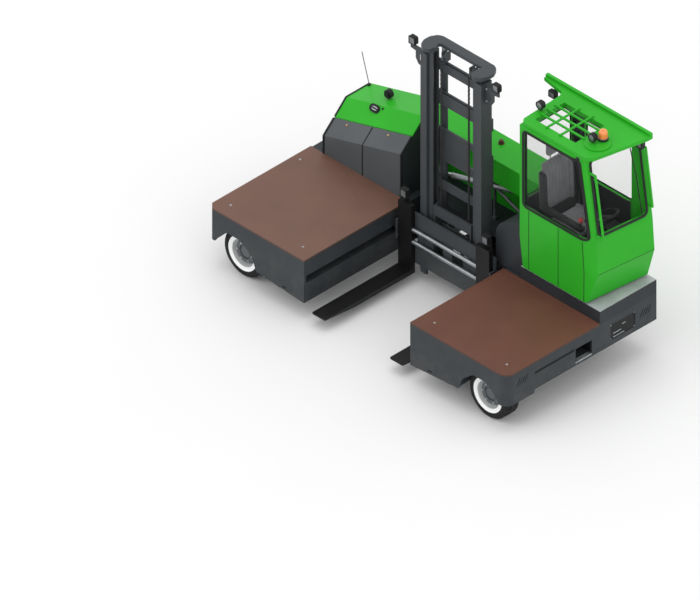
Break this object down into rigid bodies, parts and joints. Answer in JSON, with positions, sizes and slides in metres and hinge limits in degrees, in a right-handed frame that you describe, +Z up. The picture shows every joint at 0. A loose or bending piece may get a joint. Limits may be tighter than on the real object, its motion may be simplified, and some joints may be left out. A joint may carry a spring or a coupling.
{
  "type": "side loader forklift",
  "caption": "Side loader forklift with load decks either side of a reach mast, a fork carriage on a telescopic mast, an offset cab, a sloped engine hood and steered wheels.",
  "frame": {"origin": "on the floor under the middle of the truck's outline", "axes": "+X along the truck's long side towards the cab, -Y the way the forks point, +Z up"},
  "size_m": [4.106, 2.063, 2.8099],
  "materials": {
    "frame_paint": "satin",
    "green_paint": "gloss",
    "mast_paint": "satin",
    "fork_steel": "satin",
    "ply": "satin",
    "tyre": "matte",
    "rim": "gloss",
    "chrome": "polished",
    "steel": "satin",
    "glass": "clear",
    "engine": "rough",
    "seat": "matte",
    "black_plastic": "matte",
    "amber": "gloss"
  },
  "bodies": {
    "chassis": {"frame_left": "frame_paint", "frame_right": "frame_paint", "frame_rear": "frame_paint", "deck_left": "ply", "deck_right": "ply", "engine_panel_outer": "frame_paint", "engine_panel_inner": "frame_paint", "engine_bay": "frame_paint", "engine": "engine", "rear_cover": "green_paint", "oil_tank": "frame_paint", "cab_plinth": "frame_paint", "cab_lower": "green_paint", "cab_upper": "green_paint", "glass_front": "glass", "glass_side": "glass", "glass_left": "glass", "roof": "green_paint", "glass_roof": "glass", "roof_guard": "fork_steel", "beacon": "amber", "seat_base": "black_plastic", "seat_cushion": "seat", "seat_back": "seat", "console": "black_plastic", "lamp_roof": "black_plastic", "grab_rail": "green_paint", "oil_pipe": "steel"},
    "knuckle_left": {"knuckle_left": "frame_paint"},
    "knuckle_right": {"knuckle_right": "frame_paint"},
    "knuckle_rear": {"knuckle_rear": "frame_paint"},
    "wheel_left": {"tyre_left": "tyre", "rim_left": "rim"},
    "wheel_right": {"tyre_right": "tyre", "rim_right": "rim"},
    "wheel_rear": {"tyre_rear": "tyre", "rim_rear": "rim"},
    "mast": {"mast_outer": "mast_paint", "reach_arm_left": "mast_paint", "reach_arm_right": "mast_paint", "lift_barrels": "mast_paint", "mast_lamps": "black_plastic"},
    "mast_inner": {"mast_inner": "mast_paint", "lift_rods": "chrome", "lift_chains": "steel"},
    "lift_carriage": {"lift_carriage": "mast_paint"},
    "fork_frame": {"fork_frame": "mast_paint", "fork_rods": "chrome", "fork_lamps": "black_plastic"},
    "fork_left": {"fork_left": "fork_steel"},
    "fork_right": {"fork_right": "fork_steel"},
    "reach_barrel": {"reach_barrel": "steel"},
    "reach_rod": {"reach_rod": "chrome"},
    "hood_lid": {"hood_lid": "green_paint", "antenna": "black_plastic", "hood_lamp": "black_plastic"},
    "door": {"door": "green_paint", "glass_door": "glass"}
  },
  "joints": [
    {"name": "steer_left", "type": "hinge", "parent": "chassis", "child": "knuckle_left", "pos_m": [-1.685, -0.826, 0.566], "axis": [0, 0, 1], "range_deg": [-15, 90]},
    {"name": "roll_left", "type": "hinge", "parent": "knuckle_left", "child": "wheel_left", "pos_m": [-1.685, -0.826, 0.2665], "axis": [0, 1, 0], "continuous": true},
    {"name": "steer_right", "type": "hinge", "parent": "chassis", "child": "knuckle_right", "pos_m": [1.685, -0.826, 0.566], "axis": [0, 0, -1], "range_deg": [-15, 90]},
    {"name": "roll_right", "type": "hinge", "parent": "knuckle_right", "child": "wheel_right", "pos_m": [1.685, -0.826, 0.2665], "axis": [0, 1, 0], "continuous": true},
    {"name": "steer_rear", "type": "hinge", "parent": "chassis", "child": "knuckle_rear", "pos_m": [0, 0.72, 0.566], "axis": [0, 0, 1], "range_deg": [-15, 90]},
    {"name": "roll_rear", "type": "hinge", "parent": "knuckle_rear", "child": "wheel_rear", "pos_m": [0, 0.72, 0.2665], "axis": [0, 1, 0], "continuous": true},
    {"name": "reach", "type": "slide", "parent": "chassis", "child": "mast", "axis": [0, -1, 0], "range_m": [0, 1.15]},
    {"name": "lift", "type": "slide", "parent": "mast", "child": "mast_inner", "axis": [0, 0, 1], "range_m": [-0.044, 1.85]},
    {"name": "carriage_lift", "type": "slide", "parent": "mast_inner", "child": "lift_carriage", "axis": [0, 0, 1], "range_m": [-0.044, 1.85], "deforming": ["lift_chains"]},
    {"name": "fork_tilt", "type": "hinge", "parent": "lift_carriage", "child": "fork_frame", "pos_m": [0, 0.262, 0.51], "axis": [1, 0, 0], "range_deg": [-3, 3]},
    {"name": "fork_left_shift", "type": "slide", "parent": "fork_frame", "child": "fork_left", "axis": [1, 0, 0], "range_m": [0, 0.2]},
    {"name": "fork_right_shift", "type": "slide", "parent": "fork_frame", "child": "fork_right", "axis": [-1, 0, 0], "range_m": [0, 0.2]},
    {"name": "reach_barrel_swing", "type": "hinge", "parent": "chassis", "child": "reach_barrel", "pos_m": [0.54, 0.9, 1.15], "axis": [0, 0, 1], "range_deg": [0, 37.01]},
    {"name": "reach_rod_slide", "type": "slide", "parent": "reach_barrel", "child": "reach_rod", "axis": [-0.9322, -0.362, 0], "range_m": [0, 0.7755]},
    {"name": "hood_lid_hinge", "type": "hinge", "parent": "chassis", "child": "hood_lid", "pos_m": [-1.346, 1.0175, 1.3525], "axis": [-0.9608, 0, -0.2774], "range_deg": [0, 60]},
    {"name": "door_hinge", "type": "hinge", "parent": "chassis", "child": "door", "pos_m": [1.03, 1.022, 1.6], "axis": [0, 0, 1], "range_deg": [0, 85]}
  ],
  "couplings": [
    {"joint": "carriage_lift", "follows": "lift", "ratio": 1},
    {"joint": "reach_barrel_swing", "follows": "reach", "rad_per_m": 0.56095},
    {"joint": "reach_rod_slide", "follows": "reach", "ratio": 0.67352}
  ]
}
